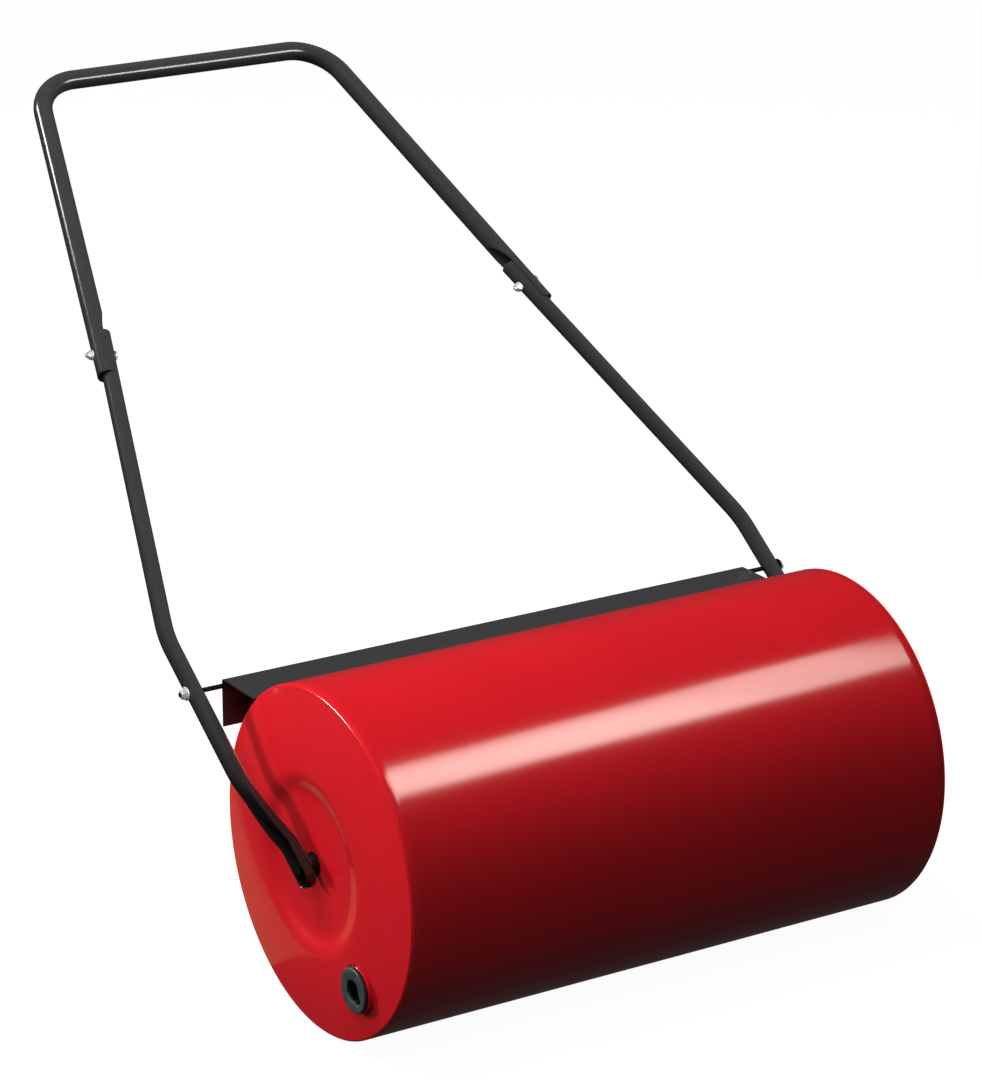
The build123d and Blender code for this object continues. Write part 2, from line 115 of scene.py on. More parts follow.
class Finish:
    """A surface finish: a material, and the one way in which nodes are added to it."""

    def __init__(self, name):
        self.material = bpy.data.materials.new(name)
        self.material.use_nodes = True
        self.tree = self.material.node_tree
        self.tree.nodes.clear()

    def add(self, kind, settings=None, sockets=None):
        node = self.tree.nodes.new("ShaderNode" + kind)
        for setting, value in (settings or {}).items():
            if setting == "stops":
                while len(node.color_ramp.elements) < len(value):
                    node.color_ramp.elements.new(1)
                for element, (position, colour) in zip(node.color_ramp.elements, value):
                    element.position = position
                    element.color = colour
            else:
                setattr(node, setting, value)
        for socket, value in (sockets or {}).items():
            if isinstance(value, Value):
                value = value.socket
            if isinstance(value, bpy.types.NodeSocket):
                self.tree.links.new(value, node.inputs[socket])
            else:
                node.inputs[socket].default_value = value
        return node

    def value(self, kind, settings, sockets, output):
        return Value(self, self.add(kind, settings, sockets).outputs[output])

    def spots(self, size, detail=2, roughness=0.5):
        """Soft random patches of about that size in metres, from 0 to 1, fixed to the piece."""
        place = self.add("TexCoord").outputs["Object"]
        sockets = {"Vector": place, "Scale": 1 / size, "Detail": detail, "Roughness": roughness}
        return self.value("TexNoise", None, sockets, "Fac")

    def ramp(self, value, stops):
        """The value spread between stops, as a number."""
        stops = [(at, (level, level, level, 1)) for at, level in stops]
        return self.value("ValToRGB", {"stops": stops}, {"Fac": value}, "Color")

    def mix(self, share, under, over):
        """A colour part of the way from one to another."""
        node = self.add("Mix", {"data_type": "RGBA"}, {0: share, 6: under, 7: over})
        return node.outputs[2]

    def bump(self, height, depth, under=None):
        """A normal from a height of 0 to 1, which is worth that depth in metres."""
        sockets = {"Height": height, "Distance": depth, "Strength": 1.0}
        if under is not None:
            sockets["Normal"] = under
        return self.add("Bump", None, sockets).outputs["Normal"]

    def surface(self, sockets):
        """The end of the finish: the shader itself."""
        shader = self.add("BsdfPrincipled", None, sockets)
        self.add("OutputMaterial", None, {"Surface": shader.outputs[0]})


FLOOR_HALF = 30
FLOOR_GREY = (0.2, 0.2, 0.2, 1)
FLOOR_GLOW = 0.96
WHITE = (1.0, 1.0, 1.0, 1.0)
floor_mesh = bpy.data.meshes.new("studio_floor")
corners = [(x * FLOOR_HALF, y * FLOOR_HALF, 0) for x, y in ((-1, -1), (1, -1), (1, 1), (-1, 1))]
floor_mesh.from_pydata(corners, [], [(0, 1, 2, 3)])
studio_floor = bpy.data.objects.new("studio_floor", floor_mesh)
bpy.context.scene.collection.objects.link(studio_floor)
floor_finish = Finish("pale floor")
floor_finish.surface({
    "Base Color": FLOOR_GREY,
    "Roughness": 1.0,
    "Specular IOR Level": 0.0,
    "Emission Color": WHITE,
    "Emission Strength": FLOOR_GLOW,
})
floor_mesh.materials.append(floor_finish.material)
studio_floor.visible_glossy = False
studio_floor.visible_diffuse = False

WORLD_GLOW = 0.04
world = bpy.data.worlds.new("studio")
world.use_nodes = True
backdrop = world.node_tree.nodes["Background"]
backdrop.inputs["Color"].default_value = WHITE
backdrop.inputs["Strength"].default_value = WORLD_GLOW
bpy.context.scene.world = world


def soft_box(name, offset, aim, width, height, watts):
    """A rectangular soft box at an offset from the axle, facing another such point."""
    lamp = bpy.data.objects.new(name, bpy.data.lights.new(name, "AREA"))
    lamp.data.shape = "RECTANGLE"
    lamp.data.size = width
    lamp.data.size_y = height
    lamp.data.energy = watts
    lamp.location = AXLE + Vector(offset)
    facing = Vector(aim) - Vector(offset)
    lamp.rotation_euler = facing.to_track_quat("-Z", "Y").to_euler()
    lamp.visible_camera = False
    bpy.context.scene.collection.objects.link(lamp)
    return lamp


def lit_only(name, *lamps):
    """A collection for the only pieces that these lamps light."""
    pieces = bpy.data.collections.new(name)
    for lamp in lamps:
        lamp.light_linking.receiver_collection = pieces
    return pieces


OVERHEAD_TURN = radians(28)
OVERHEAD_COLOUR = (1.0, 0.95, 0.86)
FLOOR_COLOUR = (1.0, 0.85, 0.4)

# above the drum, for the long highlight and its brighter middle
overhead = soft_box("overhead soft box", (1.05, -0.98, 2.0), (1.05, -0.98, 0), 1.5, 0.88, 34)
hot_middle = soft_box("overhead lamp", (1.05, -1.0, 1.98), (1.05, -1.0, 0), 0.7, 0.6, 5)
for lamp in (overhead, hot_middle):
    lamp.rotation_euler = (0, 0, OVERHEAD_TURN)
    lamp.data.color = OVERHEAD_COLOUR
# from all round, for the shapes
sky = soft_box("ceiling bounce", (-0.9, 0.5, 2.4), (0, 0, 0), 1.4, 1.4, 72)
forward = soft_box("forward bounce", (-1.0, -1.6, 1.9), (0, 0, 0), 1.2, 1.2, 13)
side = soft_box("side soft box", (-2.2, 1.9, 0.5), (-0.3, 0, 0), 0.6, 0.5, 54)
side_fill = soft_box("side fill", (-2.4, -0.4, 2.0), (-0.3, 0, 0), 1.6, 1.2, 22)
# for the lines of light along the grip and the near leg
grip_light = soft_box("grip light", (0.91, -0.97, 0.97), (0, 0.76, 0.53), 1.3, 0.36, 34)
leg_light = soft_box("leg light", (-1.0, 1.62, 1.3), (-0.2, 0.6, 0.45), 0.3, 0.26, 11)
# light that the floor throws up, for the lower edge of the plug-end cap
floor_mirror = soft_box(
    "light off the floor", (-0.2, 0.94, -0.158), (-0.2, 0.94, 1), 0.36, 1.62, 0.35
)
floor_mirror.rotation_euler = (pi, 0, 0)
floor_mirror.data.color = FLOOR_COLOUR
# for the zinc plated pieces
metal_kicker = soft_box("metal kicker", (-1.6, -1.9, 1.5), (0, 0.3, 0.3), 1.0, 1.0, 60)
metal_far = soft_box("far metal kicker", (1.9, -1.2, 1.0), (0.3, 0.2, 0.2), 1.0, 1.0, 60)
# for the far cap and the back of the handle
far_fill = soft_box("far side fill", (2.4, -0.6, 1.1), (0.3, 0, 0), 1.2, 1.2, 75)
back_fill = soft_box("back fill", (0.9, 2.6, 1.9), (0, 0.3, 0.2), 1.4, 1.4, 60)

for lamp in (overhead, hot_middle, grip_light, leg_light, floor_mirror):
    lamp.visible_diffuse = False
for lamp in (sky, forward, side_fill, far_fill, back_fill):
    lamp.visible_glossy = False
shiny_only = lit_only("red, rubber and zinc pieces", overhead, hot_middle, side, side_fill)
all_but_barrel = lit_only("all but the barrel", far_fill)
tubes_only = lit_only("tubes of the handle", grip_light, leg_light, back_fill)
metal_only = lit_only("zinc plated pieces", metal_kicker, metal_far)
plug_cap_only = lit_only("plug-end cap", floor_mirror)

# ---------------------------------------------------------------- barrel of the drum
# A steel sheet rolled into a tube and welded along one line, sprayed with red enamel. Its
# ends tuck against the pressed end caps, and the rolling leaves it very slightly uneven.
MM = 0.001
BARREL_STEPS = 240
BARREL_STATIONS = 72
BARREL_RADIUS = (drum_high.z - drum_low.z) / 2 / MM
BARREL_HALF = (drum_high.x - drum_low.x) / 2 / MM
SHEET = 1.5
SEAM_GROOVE = 0.35
SEAM_BEVEL = 0.8
PEEL_DEPTH = 0.00003
RED = (0.60, 0.0095, 0.016, 1)
DEEP_RED = (0.53, 0.008, 0.0135, 1)


def at_axle(x, y, z):
    """A point given from the middle of the drum, in millimetres."""
    return AXLE / MM + Vector((x, y, z))


def skin(name, rings, finish, closed=False, sharp=32):
    """A piece whose surface passes over a row of rings of points, in millimetres."""
    bm = bmesh.new()
    rows = [[bm.verts.new(Vector(point) * MM) for point in ring] for ring in rings]
    pairs = list(zip(rows, rows[1:]))
    if closed:
        pairs.append((rows[-1], rows[0]))
    for near, far in pairs:
        for i in range(len(near)):
            bm.faces.new((near[i - 1], near[i], far[i], far[i - 1]))
    if not closed:
        bm.faces.new(rows[0][::-1])
        bm.faces.new(rows[-1])
    bmesh.ops.recalc_face_normals(bm, faces=bm.faces)
    mesh = bpy.data.meshes.new(name)
    bm.to_mesh(mesh)
    bm.free()
    mesh.shade_smooth()
    mesh.set_sharp_from_angle(angle=radians(sharp))
    mesh.materials.append(finish.material)
    piece = bpy.data.objects.new(name, mesh)
    bpy.context.scene.collection.objects.link(piece)
    return piece


def fit(piece, body, slot, *nodes):
    """The piece rides on its body, gets the lamps for its slot, and hides the CAD nodes it
    stands for.
    """
    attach(piece, body)
    if slot == "black_paint" and body == "handle":
        tubes_only.objects.link(piece)
    if slot == "zinc_plate":
        metal_only.objects.link(piece)
    if slot in ("red_paint", "rubber", "zinc_plate"):
        shiny_only.objects.link(piece)
    if piece.name != "barrel":
        all_but_barrel.objects.link(piece)
    if nodes:
        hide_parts(*nodes)


enamel = Finish("red enamel")
peel = enamel.spots(0.0024, 1) * 0.7 + enamel.spots(0.0009, 1) * 0.3
clouds = enamel.ramp(enamel.spots(0.11, 3), [(0.35, 0), (0.7, 1)])
dust = enamel.ramp(enamel.spots(0.004, 4, 0.7), [(0.62, 0), (0.75, 1)])
enamel.surface({
    "Base Color": enamel.mix(clouds * 0.6, RED, DEEP_RED),
    "Roughness": 0.13 + 0.03 * clouds + 0.03 * dust,
    "Specular IOR Level": 0.55,
    "Normal": enamel.bump(peel, PEEL_DEPTH),
})


def rolled(angle, x):
    """How far the rolled sheet stands off a true cylinder."""
    fade = 1 - (x / BARREL_HALF) ** 8
    long_wave = 0.11 * sin(2 * angle + 0.8) * cos(x / 95 + 0.4)
    short_wave = 0.05 * sin(5 * angle - 1.1 + x / 120) + 0.03 * sin(x / 31 + 3 * angle)
    return fade * (long_wave + short_wave)


def hoop(x, radius, steps=BARREL_STEPS, stray=None):
    """A ring of points round the drum's axis."""
    points = []
    for i in range(steps):
        angle = 2 * pi * i / steps
        r = radius + (stray(angle, x) if stray else 0)
        points.append(at_axle(x, r * cos(angle), r * sin(angle)))
    return points


even_half = BARREL_HALF - SEAM_BEVEL
rings = [hoop(-BARREL_HALF, BARREL_RADIUS - SEAM_GROOVE)]
for i in range(BARREL_STATIONS + 1):
    x = -even_half + i * 2 * even_half / BARREL_STATIONS
    rings.append(hoop(x, BARREL_RADIUS, stray=rolled))
rings += [hoop(BARREL_HALF, BARREL_RADIUS - SEAM_GROOVE)]
rings += [hoop(BARREL_HALF, BARREL_RADIUS - SHEET), hoop(-BARREL_HALF, BARREL_RADIUS - SHEET)]
fit(skin("barrel", rings, enamel, closed=True), "drum", "red_paint", "drum_shell")

# ---------------------------------------------------------------- long seam weld
# The weld that closes the barrel: a low rippled bead along its underside, ground down and
# painted over with the drum.
SEAM_ANGLE = radians(-62)
SEAM_HALF_WIDTH = 2.6
SEAM_RISE = 0.42
SEAM_SUNK = 0.05
SEAM_ROOT = 0.8
SEAM_STEPS = 560
SEAM_ACROSS = 4  # steps from the middle of the bead to its edge

rings = []
for i in range(SEAM_STEPS + 1):
    x = (2 * i / SEAM_STEPS - 1) * (BARREL_HALF - 1)
    ripple = 1 + 0.22 * sin(x / 0.42) + 0.1 * sin(x / 7)
    drift = 0.35 * sin(x / 37)
    ring = []
    for j in range(2 * SEAM_ACROSS + 1):
        share = j / SEAM_ACROSS - 1
        across = share * SEAM_HALF_WIDTH + drift
        rise = SEAM_RISE * ripple * (1 - share ** 2) - SEAM_SUNK
        angle = SEAM_ANGLE + across / BARREL_RADIUS
        r = BARREL_RADIUS + rolled(angle, x) + rise
        ring.append(at_axle(x, r * cos(angle), r * sin(angle)))
    root = BARREL_RADIUS - SEAM_ROOT
    ring.append(at_axle(x, root * cos(SEAM_ANGLE), root * sin(SEAM_ANGLE)))
    rings.append(ring)
fit(skin("long_seam_weld", rings, enamel, sharp=60), "drum", "red_paint")

# ---------------------------------------------------------------- end caps
# Pressed steel ends: a shallow dome with a stepped-in middle for the hub, turned over at the
# rim into a lip that slides into the barrel. The left one has the filler's hole cut in it.
cap_low, cap_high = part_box("right_end_cap")
CAP_FACE = cap_high.x / MM
CAP_LIP = cap_low.x / MM
CAP_EDGE = 2.5
CAP_EDGE_STEPS = 8
CAP_RIM = BARREL_HALF + CAP_EDGE
SEAM_GAP = 0.02
DOME_CURVE = 1.75
DOME_STEPS = 24
DOME_END = 3  # the last steps of the dome, which the recess's rounded edge takes up
RECESS_RADIUS = 80
RECESS_FLOOR = 66
RECESS_DEPTH = 5
RECESS_CORNER = 34
RECESS_FLAT = 28
SPIGOT_RADIUS = 8
HOLE_STEPS = 96
CUTTER_OUTSIDE = 20
CUTTER_INSIDE = 60
neck_low, neck_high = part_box("filler_neck")
FILLER_Y = ((neck_low.y + neck_high.y) / 2 - AXLE.y) / MM
FILLER_Z = ((neck_low.z + neck_high.z) / 2 - AXLE.z) / MM
NECK_RADIUS = (neck_high.z - neck_low.z) / 2 / MM


def soft_corners(points, radii, steps=5, closed=False):
    """A line of flat points with each corner rounded off to its own radius."""
    points = [Vector(point) for point in points]
    line = []
    for i, corner in enumerate(points):
        radius = radii[i]
        last = i in (0, len(points) - 1) and not closed
        if last or radius <= 0:
            line.append(corner)
            continue
        back = (points[i - 1] - corner).normalized()
        ahead = (points[(i + 1) % len(points)] - corner).normalized()
        half = back.angle(ahead) / 2
        middle = corner + (back + ahead).normalized() * (radius / sin(half))
        start = corner + back * (radius / tan(half)) - middle
        end = corner + ahead * (radius / tan(half)) - middle
        for step in range(steps + 1):
            share = step / steps
            turn = pi - 2 * half
            reach = (start * sin((1 - share) * turn) + end * sin(share * turn)) / sin(turn)
            line.append(middle + reach)
    return line


def dome(radius):
    """How far the cap's dome stands out at a radius from the axle."""
    share = (BARREL_RADIUS - CAP_EDGE - radius) / (BARREL_RADIUS - CAP_EDGE - RECESS_RADIUS)
    return CAP_RIM + (CAP_FACE - CAP_RIM) * (1 - (1 - share) ** DOME_CURVE)


def cap_line(inset):
    """The cap's profile from rim to hub as (outward, radius), moved in by the sheet."""
    line = []
    reach = CAP_EDGE - inset
    for i in range(CAP_EDGE_STEPS + 1):
        turn = radians(90 * i / CAP_EDGE_STEPS)
        radius = BARREL_RADIUS - CAP_EDGE + reach * cos(turn)
        line.append((BARREL_HALF + reach * sin(turn), radius))
    crown = BARREL_RADIUS - CAP_EDGE - RECESS_RADIUS
    for i in range(1, DOME_STEPS - DOME_END + 1):
        radius = BARREL_RADIUS - CAP_EDGE - crown * i / DOME_STEPS
        line.append((dome(radius) - inset, radius))
    dome_end = RECESS_RADIUS + crown * DOME_END / DOME_STEPS
    floor = CAP_FACE - RECESS_DEPTH - inset
    step = soft_corners(
        [
            (dome(dome_end) - inset, dome_end), (CAP_FACE - inset, RECESS_RADIUS),
            (floor, RECESS_FLOOR), (floor, RECESS_FLAT),
        ],
        [0, RECESS_CORNER, RECESS_CORNER, 0],
        9,
    )
    line += [tuple(point) for point in step[1:]]
    line.append((floor, SPIGOT_RADIUS))
    return line


profile = [(BARREL_HALF + SEAM_GAP, BARREL_RADIUS - SEAM_GROOVE)]
profile += [(BARREL_HALF + SEAM_BEVEL, BARREL_RADIUS)]
profile += [point for point in cap_line(0) if point[0] > BARREL_HALF + SEAM_BEVEL]
profile += cap_line(SHEET)[::-1]
profile += [(CAP_LIP, BARREL_RADIUS - 2 * SHEET), (CAP_LIP, BARREL_RADIUS - SHEET)]
profile += [(BARREL_HALF + SEAM_GAP, BARREL_RADIUS - SHEET)]
for facing, name, node in (
    (-1, "plug_end_cap", "left_end_cap"), (1, "far_end_cap", "right_end_cap"),
):
    cap = skin(name, [hoop(facing * x, radius) for x, radius in profile], enamel, closed=True)
    if facing < 0:
        rings = []
        for x in (-CAP_FACE - CUTTER_OUTSIDE, -CAP_FACE + CUTTER_INSIDE):
            ring = []
            for i in range(HOLE_STEPS):
                angle = 2 * pi * i / HOLE_STEPS
                y = FILLER_Y + NECK_RADIUS * cos(angle)
                z = FILLER_Z + NECK_RADIUS * sin(angle)
                ring.append(at_axle(x, y, z))
            rings.append(ring)
        cutter = skin("filler_hole_cutter", rings, enamel)
        cut = cap.modifiers.new("filler hole", "BOOLEAN")
        cut.operation = "DIFFERENCE"
        cut.solver = "EXACT"
        cut.object = cutter
        bpy.context.view_layer.update()
        drilled = bpy.data.meshes.new_from_object(
            cap.evaluated_get(bpy.context.evaluated_depsgraph_get())
        )
        cap.modifiers.clear()
        cap.data = drilled
        bpy.data.objects.remove(cutter)
        plug_cap_only.objects.link(cap)
    fit(cap, "drum", "red_paint", node)

# ---------------------------------------------------------------- filler neck
# A short turned steel ring that is welded into the hole of the plug-end cap and painted with
# it. The rubber plug's stem fits its bore, and its edges are softened so as not to cut it.
NECK_BORE = 16.2
NECK_EDGE = 0.6
NECK_FACE = -neck_low.x / MM
NECK_BACK = -neck_high.x / MM


def seat(origin, along, across=(0, 0, 1)):
    """Where a turned part stands: its axis points along, from an origin in millimetres."""
    z = Vector(along).normalized()
    x = (Vector(across) - z * Vector(across).dot(z)).normalized()
    place = Matrix((x, z.cross(x), z)).transposed().to_4x4()
    place.translation = origin
    return place


def round_ring(place, height, radius, steps):
    """A ring across a turned part. The radius may be a number or a function of the angle."""
    ring = []
    for i in range(steps):
        angle = 2 * pi * i / steps
        r = radius(angle) if callable(radius) else radius
        ring.append(place @ Vector((r * cos(angle), r * sin(angle), height)))
    return ring


def turned(name, place, profile, finish, steps=64, closed=False, sharp=32):
    """A part turned on a lathe from a profile of (height, radius) points."""
    rings = [round_ring(place, height, radius, steps) for height, radius in profile]
    return skin(name, rings, finish, closed, sharp)


def collar(inner, outer, low, high, edge):
    """The profile of a ring with a bore, its edges softened."""
    corners = [(low, inner), (low, outer), (high, outer), (high, inner)]
    return soft_corners(corners, [edge] * 4, 3, closed=True)


filler_place = seat(at_axle(0, FILLER_Y, FILLER_Z), (-1, 0, 0))
profile = collar(NECK_BORE, NECK_RADIUS, NECK_BACK, NECK_FACE, NECK_EDGE)
neck = turned("filler_neck_ring", filler_place, profile, enamel, HOLE_STEPS, True)
fit(neck, "drum", "red_paint", "filler_neck")

# ---------------------------------------------------------------- hub bosses
# Turned steel bosses in the middle of each end cap, blackened and welded on. Their tapped
# bores take the bolts that the drum turns on.
HUB_RADIUS = 9.5
BOLT_RADIUS = 4
hub_low, hub_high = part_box("right_hub_boss")
HUB_FACE = hub_high.x / MM
HUB_BACK = hub_low.x / MM
TAP_PLAY = 0.05
HUB_WELD = 1.2
WELD_SIDES = 8
WELD_RIPPLES = 26
RIPPLE_STEPS = 8
STEEL_BLACK = (0.022, 0.021, 0.021, 1)
STEEL_WORN = (0.10, 0.095, 0.09, 1)

blackened = Finish("blackened steel")
oxide = blackened.ramp(blackened.spots(0.003, 4, 0.7), [(0.5, 0), (0.72, 1)])
blackened.surface({
    "Base Color": blackened.mix(oxide, STEEL_BLACK, STEEL_WORN),
    "Metallic": 0.75,
    "Roughness": 0.34 + 0.15 * oxide,
    "Normal": blackened.bump(blackened.spots(0.0006, 2), 0.00002),
})



def weld_bead(name, place, radius, finish):
    """A rippled fillet weld round a turned part."""
    rings = []
    for i in range(WELD_RIPPLES * RIPPLE_STEPS):
        angle = 2 * pi * i / (WELD_RIPPLES * RIPPLE_STEPS)
        swell = 1 + 0.16 * sin(WELD_RIPPLES * angle) + 0.07 * sin(3 * angle + 1)
        ring = []
        for j in range(WELD_SIDES):
            turn = 2 * pi * j / WELD_SIDES
            r = radius + HUB_WELD * swell * cos(turn)
            height = 0.8 * HUB_WELD * swell * sin(turn)
            ring.append(place @ Vector((r * cos(angle), r * sin(angle), height)))
        rings.append(ring)
    return skin(name, rings, finish, closed=True, sharp=60)


for facing, name, node in ((-1, "plug_end", "left_hub_boss"), (1, "far_end", "right_hub_boss")):
    place = seat(at_axle(0, 0, 0), (facing, 0, 0))
    shoulder = CAP_FACE - RECESS_DEPTH
    corners = [
        (HUB_BACK, BOLT_RADIUS + TAP_PLAY), (HUB_BACK, SPIGOT_RADIUS),
        (shoulder, SPIGOT_RADIUS), (shoulder, HUB_RADIUS),
        (HUB_FACE, HUB_RADIUS), (HUB_FACE, BOLT_RADIUS + TAP_PLAY),
    ]
    profile = soft_corners(corners, [0.2, 0.6, 0, 0.1, 0.9, 0.2], 4, True)
    boss = turned(name + "_boss", place, profile, blackened, 72, True)
    fit(boss, "drum", "blackened_steel", node)
    weld_place = place @ Matrix.Translation((0, 0, shoulder + 0.3))
    hub_weld = weld_bead(name + "_boss_weld", weld_place, HUB_RADIUS + 0.4, blackened)
    fit(hub_weld, "drum", "blackened_steel")

# ---------------------------------------------------------------- lower arms
# Two lengths of steel tube, powder coated black. Each is bent in beside the drum, and its
# end is pressed into a trough that holds the axle bolt, with the corners of the tip cropped.
HANDLE_ANGLE = radians(35.2)
ALONG = Vector((0, cos(HANDLE_ANGLE), sin(HANDLE_ANGLE)))
NORMAL = Vector((0, -sin(HANDLE_ANGLE), cos(HANDLE_ANGLE)))
ARM_RADIUS = 8
TUBE_WALL = 1.5
ARM_HALF = 316.5
ARM_BEND = 120
ARM_TOP = 608
JOINT_DISTANCE = 583
JOINT_HALF = 238.9
JOINT_NEST = 4.05
ARM_SPREAD = 0.2535
ARM_MOUTH = 45
PRESS_TOP = 126
PRESS_START = 112
SET_START = 104
SET_CURVE = 1.6
KINK = 25
TIP_REACH = 19
TIP_CROP = 5
TIP_STEPS = 66
TROUGH_FACE = 295.7
TROUGH_HALF_WIDTH = 10
TROUGH_HALF_DEPTH = 5.15
TROUGH_WEB = 3
RING_POINTS = 72
BLACK = (0.034, 0.0325, 0.033, 1)
WORN_BLACK = (0.055, 0.053, 0.053, 1)
# Painted shade: near the axle the black coat turns a darker black, for the shade that the arms'
# pressed tips lie in beside the drum.
PAINTED_SHADE_BLACK = (0.012, 0.0115, 0.0115, 1)
PAINTED_SHADE_REACH = [(0.06, 1), (0.155, 0)]  # how full the painted shade is, by metres from the axle
COAT_GRAIN = 0.000022

powder_coat = Finish("black powder coat")
grain = powder_coat.spots(0.0011, 2) * 0.65 + powder_coat.spots(0.0032, 1) * 0.35
patches = powder_coat.ramp(powder_coat.spots(0.03, 3), [(0.35, 0), (0.7, 1)])
rubbed = powder_coat.ramp(powder_coat.spots(0.006, 5, 0.75), [(0.6, 0), (0.72, 1)])
# Painted shade: the coat is darkened within 155 mm of the axle, fully within 60 mm of it.
spot = powder_coat.add("SeparateXYZ", None, {0: powder_coat.add("TexCoord").outputs["Object"]})
behind = Value(powder_coat, spot.outputs[1]) - AXLE.y
above = Value(powder_coat, spot.outputs[2]) - AXLE.z
painted_shade = powder_coat.ramp((behind * behind + above * above) ** 0.5, PAINTED_SHADE_REACH)
worn = powder_coat.mix(rubbed * 0.5, BLACK, WORN_BLACK)
powder_coat.surface({
    "Base Color": powder_coat.mix(painted_shade, worn, PAINTED_SHADE_BLACK),
    "Roughness": 0.17 + 0.05 * patches + 0.08 * rubbed,
    "Specular IOR Level": 0.5,
    "Normal": powder_coat.bump(grain, COAT_GRAIN),
})


def in_handle(x, distance, height=0):
    """A point in the handle's plane, from the axle, in millimetres."""
    return AXLE / MM + Vector((x, 0, 0)) + ALONG * distance + NORMAL * height


def bent_line(corners, radius, pitch):
    """Points along straight runs with rounded corners, no further apart than the pitch."""
    line = soft_corners(corners, [radius] * len(corners), 24)
    points = []
    for near, far in zip(line, line[1:]):
        count = max(1, ceil((far - near).length / pitch))
        points += [near.lerp(far, i / count) for i in range(count)]
    return points + [line[-1]]


def ahead_at(line, i):
    """The direction of a line at one of its points."""
    return (line[min(i + 1, len(line) - 1)] - line[max(i - 1, 0)]).normalized()


def even_points(line, count):
    """A closed flat outline, shared out into points that are the same distance apart."""
    closed = line + [line[0]]
    lengths = [0]
    for near, far in zip(closed, closed[1:]):
        lengths.append(lengths[-1] + (far - near).length)
    points = []
    spot = 0
    for i in range(count):
        wanted = lengths[-1] * i / count
        while lengths[spot + 1] < wanted:
            spot += 1
        share = (wanted - lengths[spot]) / max(lengths[spot + 1] - lengths[spot], 1e-9)
        points.append(closed[spot].lerp(closed[spot + 1], share))
    return points


def ease(value, start, end):
    """From 0 at the start to 1 at the end, without a corner at either."""
    share = min(max((value - start) / (end - start), 0), 1)
    return share * share * (3 - 2 * share)


web_face = TROUGH_WEB - TROUGH_HALF_DEPTH
wall_face = TROUGH_HALF_WIDTH - TUBE_WALL
trough = even_points(
    [Vector((web_face, 0))]
    + soft_corners(
        [
            (web_face, wall_face), (TROUGH_HALF_DEPTH, wall_face),
            (TROUGH_HALF_DEPTH, TROUGH_HALF_WIDTH), (-TROUGH_HALF_DEPTH, TROUGH_HALF_WIDTH),
            (-TROUGH_HALF_DEPTH, -TROUGH_HALF_WIDTH), (TROUGH_HALF_DEPTH, -TROUGH_HALF_WIDTH),
            (TROUGH_HALF_DEPTH, -wall_face), (web_face, -wall_face),
        ],
        [1.3, 0.65, 0.75, 3, 3, 0.75, 0.65, 1.3],
        5, True,
    ),
    RING_POINTS,
)
turns = [2 * pi * i / RING_POINTS for i in range(RING_POINTS)]
circle = [Vector((cos(turn), sin(turn))) for turn in turns]

bend_distance = JOINT_DISTANCE - (ARM_HALF - JOINT_HALF + JOINT_NEST) / ARM_SPREAD
arm_line = bent_line(
    [
        (JOINT_HALF - JOINT_NEST - ARM_SPREAD * (ARM_TOP - JOINT_DISTANCE), ARM_TOP),
        (ARM_HALF, bend_distance),
        (ARM_HALF, PRESS_TOP),
    ],
    ARM_BEND, 9,
)
for facing, name, node in (
    (-1, "plug_side_arm", "left_lower_arm"), (1, "far_side_arm", "right_lower_arm"),
):
    rings = []
    top = arm_line[0]
    down = ahead_at(arm_line, 0)
    bore = ARM_RADIUS - TUBE_WALL
    mouth = [(ARM_MOUTH, bore), (0.3, bore), (0, bore + 0.3)]
    mouth += [(0, ARM_RADIUS - 0.4), (0.12, ARM_RADIUS - 0.12)]
    sections = [(top + down * depth, down, radius) for depth, radius in mouth]
    sections += [
        (point + down * 0.4 if i == 0 else point, ahead_at(arm_line, i), ARM_RADIUS)
        for i, point in enumerate(arm_line)
    ]
    for point, direction, radius in sections:
        out = Vector((-direction.y, direction.x))
        ring = []
        for spot in circle:
            flat = point + out * (spot.x * radius)
            ring.append(in_handle(facing * flat.x, flat.y, spot.y * radius))
        rings.append(ring)
    for i in range(1, TIP_STEPS + 1):
        distance = PRESS_TOP - (PRESS_TOP + TIP_REACH) * i / TIP_STEPS
        pressed = 1 - ease(distance, KINK, PRESS_START)
        set_in = (1 - min(max((distance - KINK) / (SET_START - KINK), 0), 1)) ** SET_CURVE
        middle = ARM_HALF + (TROUGH_FACE + TROUGH_HALF_DEPTH - ARM_HALF) * set_in
        crop = max(0, TIP_CROP - TIP_REACH - distance)
        narrow = (TROUGH_HALF_WIDTH - crop) / TROUGH_HALF_WIDTH
        ring = []
        for spot, pressed_spot in zip(circle, trough):
            x = ARM_RADIUS * spot.x * (1 - pressed) + pressed_spot.x * pressed
            y = ARM_RADIUS * spot.y * (1 - pressed) + pressed_spot.y * pressed * narrow
            ring.append(in_handle(facing * (middle + x), distance, y))
        rings.append(ring)
    fit(skin(name, rings, powder_coat), "handle", "black_paint", node)

# ---------------------------------------------------------------- axle bolts and washers
# A hexagon-headed bolt through each arm's tip into the hub boss, blackened, with a plain
# washer under its head. The drum turns with them.
AXLE_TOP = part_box("axle_bolts")[1].x / MM
AXLE_HEAD = 13
AXLE_HEAD_HEIGHT = 5
AXLE_DISH = 0.35
AXLE_REACH = 16
AXLE_TURN = 0.3
HEAD_SLOPE = 1.6
AXLE_WASHER = 1.4
AXLE_WASHER_RADIUS = 7.4


def hexagon(flats, to_edge):
    """The radius of a hexagon at an angle, its corners cut back that near to a face's edge."""
    def radius(angle):
        corner = flats / 2 / cos((angle % (pi / 3)) - pi / 6)
        return min(corner, flats / 2 * 0.93 + to_edge / 0.55)
    return radius


